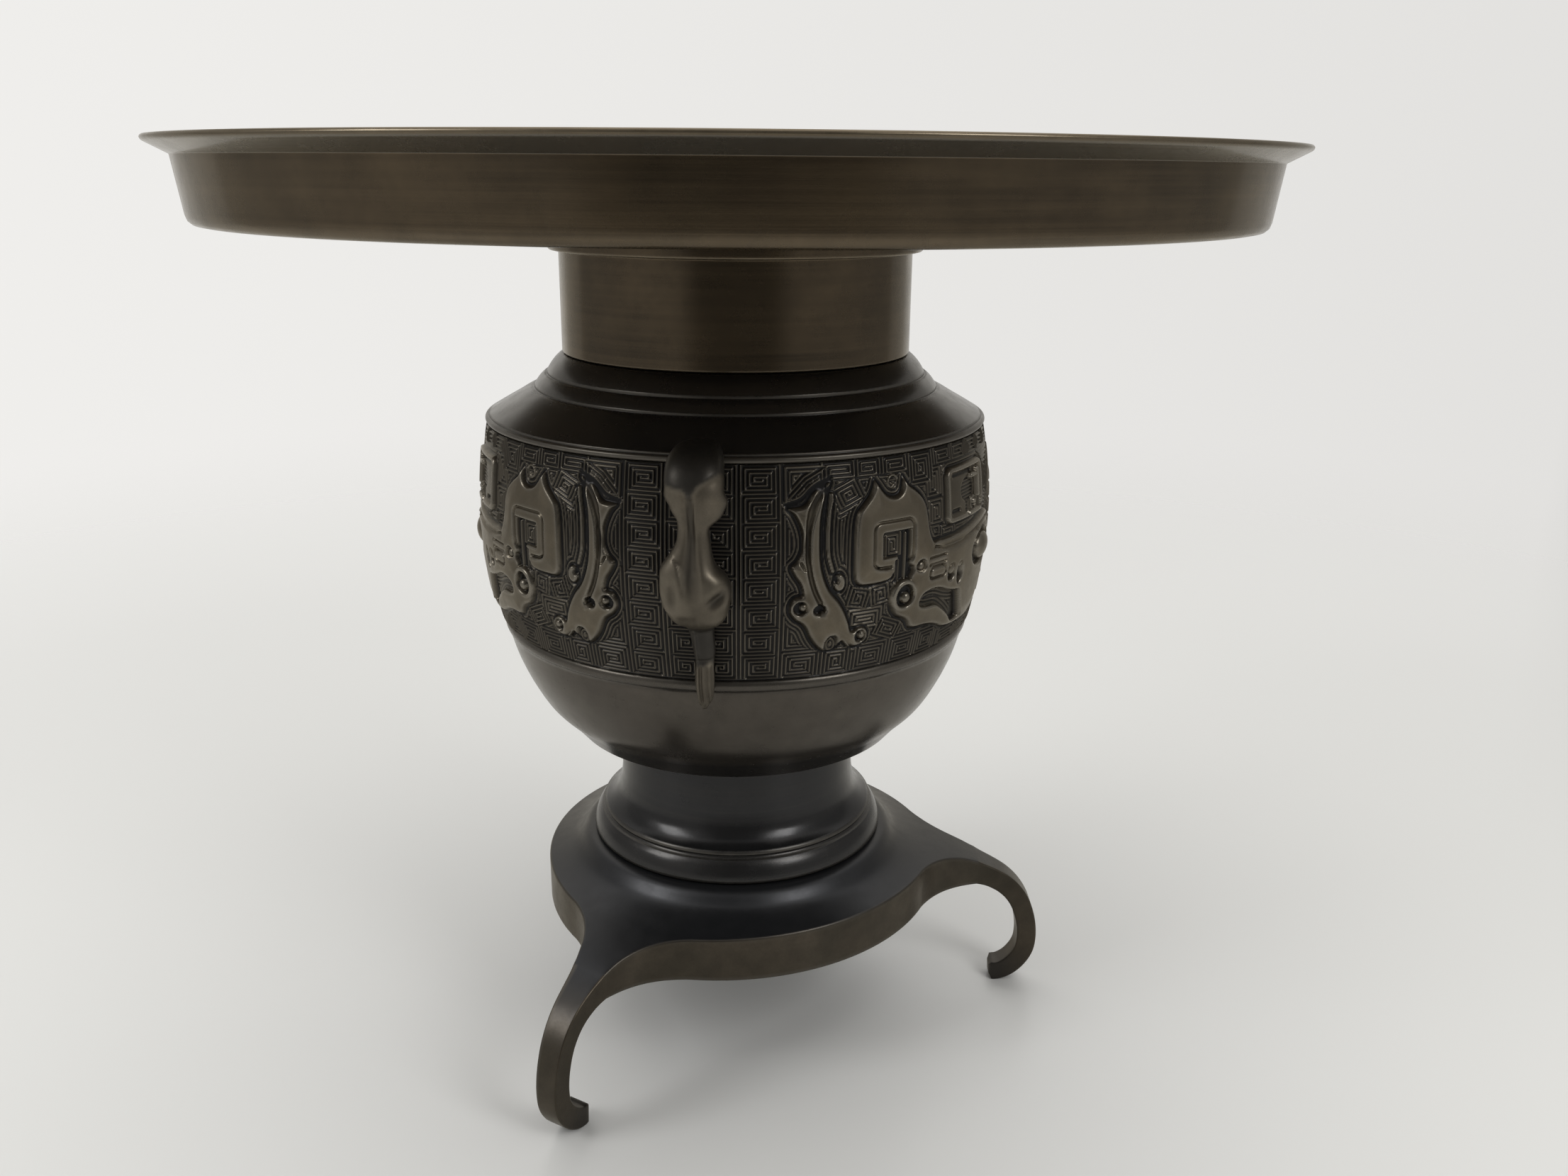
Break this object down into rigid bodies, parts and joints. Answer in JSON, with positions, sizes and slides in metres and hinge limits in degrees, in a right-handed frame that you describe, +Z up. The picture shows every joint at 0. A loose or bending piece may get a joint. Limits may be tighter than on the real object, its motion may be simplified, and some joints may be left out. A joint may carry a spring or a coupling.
{
  "type": "usubata flower vase",
  "caption": "Bronze usubata flower vase: a wide shallow dish on a neck, a hollow body with a relief band and beast-head handles, and a tripod stand.",
  "frame": {"origin": "on the floor, under the middle of the vase", "axes": "+Z up along the vase's axis; -Y is the side seen in the picture, with one handle 7 degrees to its left, and +X is to the right of that view"},
  "size_m": [0.31, 0.31, 0.2722],
  "materials": {
    "brown_bronze": "brown patina, turned and rubbed to a satin sheen",
    "black_bronze": "black patina, satin to glossy",
    "handle_bronze": "dark brown patina, worn on the high places"
  },
  "bodies": {
    "root": {"dish": "brown_bronze", "body": "black_bronze", "handle_front": "handle_bronze", "handle_back": "handle_bronze", "tripod_stand": "black_bronze"}
  },
  "joints": []
}
